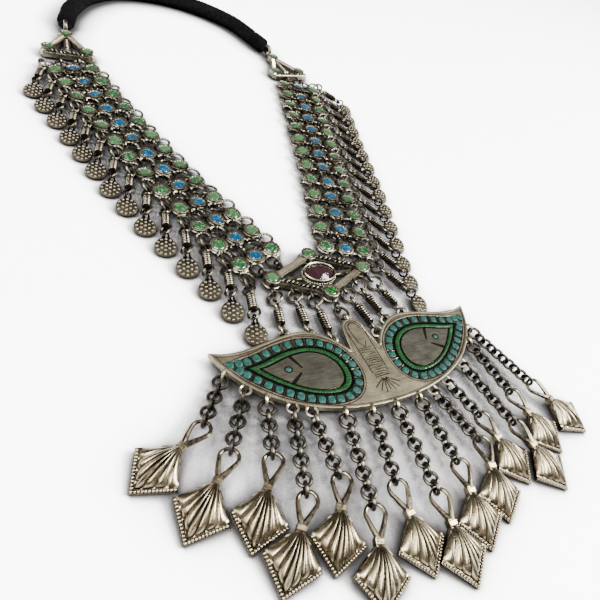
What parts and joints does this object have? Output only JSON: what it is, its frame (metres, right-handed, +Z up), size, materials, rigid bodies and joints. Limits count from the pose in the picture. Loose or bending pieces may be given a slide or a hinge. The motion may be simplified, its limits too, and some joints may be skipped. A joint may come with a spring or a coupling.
{
  "type": "tribal necklace",
  "caption": "Nomad style silver bib necklace laid flat: mesh straps with enamelled cups, a lozenge with an oval stone, a paisley pendant, fluted drops, coiled dangles and a short cord.",
  "frame": {"origin": "on the surface the necklace lies on, under the middle of the lozenge", "axes": "+Y from the pendant towards the cord, +Z up off the surface, +X to the right strap"},
  "size_m": [0.1486, 0.3133, 0.0074],
  "materials": {
    "silver": "aged silver, worn bright on the raised parts",
    "green_enamel": "glossy enamel",
    "turquoise_enamel": "glossy enamel",
    "garnet": "dark red cut stone",
    "cord": "matte braid",
    "cord_binding": "wound thread"
  },
  "bodies": {
    "root": {"strap_left": "silver", "strap_right": "silver", "dangle_rings_left": "silver", "dangle_rings_right": "silver", "dangle_coils_left": "silver", "dangle_coils_right": "silver", "dangle_discs_left": "silver", "dangle_discs_right": "silver", "centre_frame": "silver", "garnet": "garnet", "end_plate_left": "silver", "end_plate_right": "silver", "pendant_plate": "silver", "pendant_green": "green_enamel", "pendant_turquoise": "turquoise_enamel", "hanger_links": "silver", "chain_1": "silver", "chain_2": "silver", "chain_3": "silver", "chain_4": "silver", "chain_5": "silver", "chain_6": "silver", "chain_7": "silver", "chain_8": "silver", "chain_9": "silver", "chain_10": "silver", "chain_11": "silver", "chain_12": "silver", "chain_13": "silver", "chain_14": "silver", "drop_1": "silver", "drop_2": "silver", "drop_3": "silver", "drop_4": "silver", "drop_5": "silver", "drop_6": "silver", "drop_7": "silver", "drop_8": "silver", "drop_9": "silver", "drop_10": "silver", "drop_11": "silver", "drop_12": "silver", "drop_13": "silver", "drop_14": "silver", "cord_end_left": "cord_binding", "cord_end_right": "cord_binding", "cord": "cord"}
  },
  "joints": []
}
